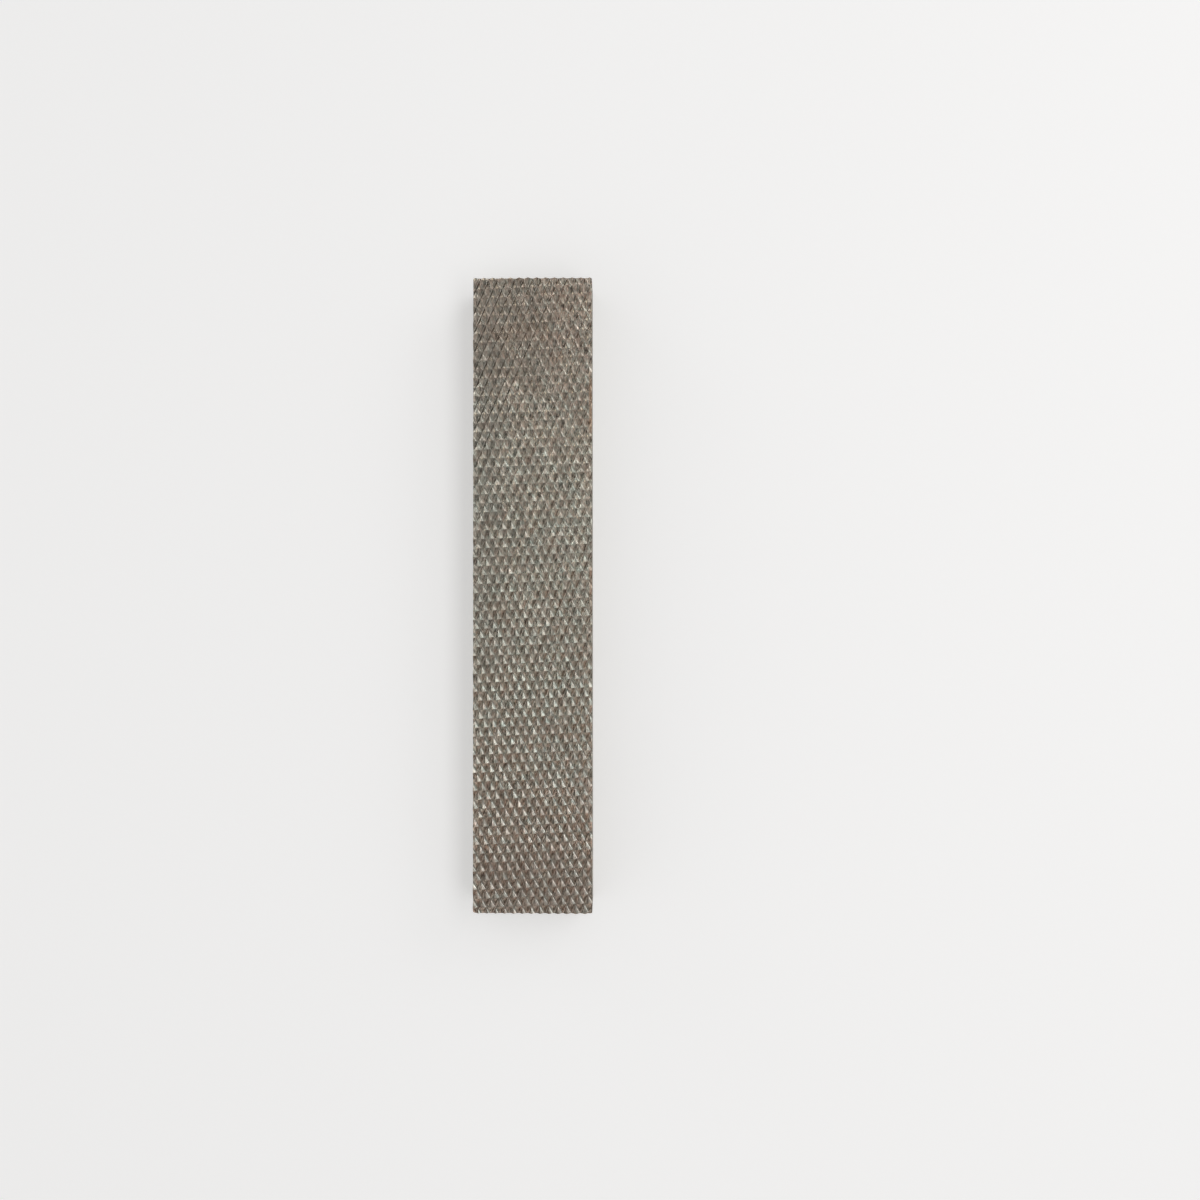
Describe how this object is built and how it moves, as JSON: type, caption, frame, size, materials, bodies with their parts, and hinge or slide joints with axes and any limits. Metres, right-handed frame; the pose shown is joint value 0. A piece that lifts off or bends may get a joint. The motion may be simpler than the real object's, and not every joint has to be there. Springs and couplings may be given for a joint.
{
  "type": "serrated vise jaw insert",
  "caption": "Steel vise jaw insert: a bar with crossed diamond serrations on its gripping face and blind tapped holes with countersunk mouths in its flat back.",
  "frame": {"origin": "middle of the flat back, which seats against the vise jaw and on which the insert rests", "axes": "+Z out of the serrated face, +Y along the length, +X across the width"},
  "size_m": [0.0382, 0.2032, 0.0159],
  "materials": {
    "hardened_steel": "grit-blasted and heat-darkened, olive brown to grey, a little bright along the edges and tooth flanks"
  },
  "bodies": {
    "root": {"jaw_insert": "hardened_steel"}
  },
  "joints": []
}
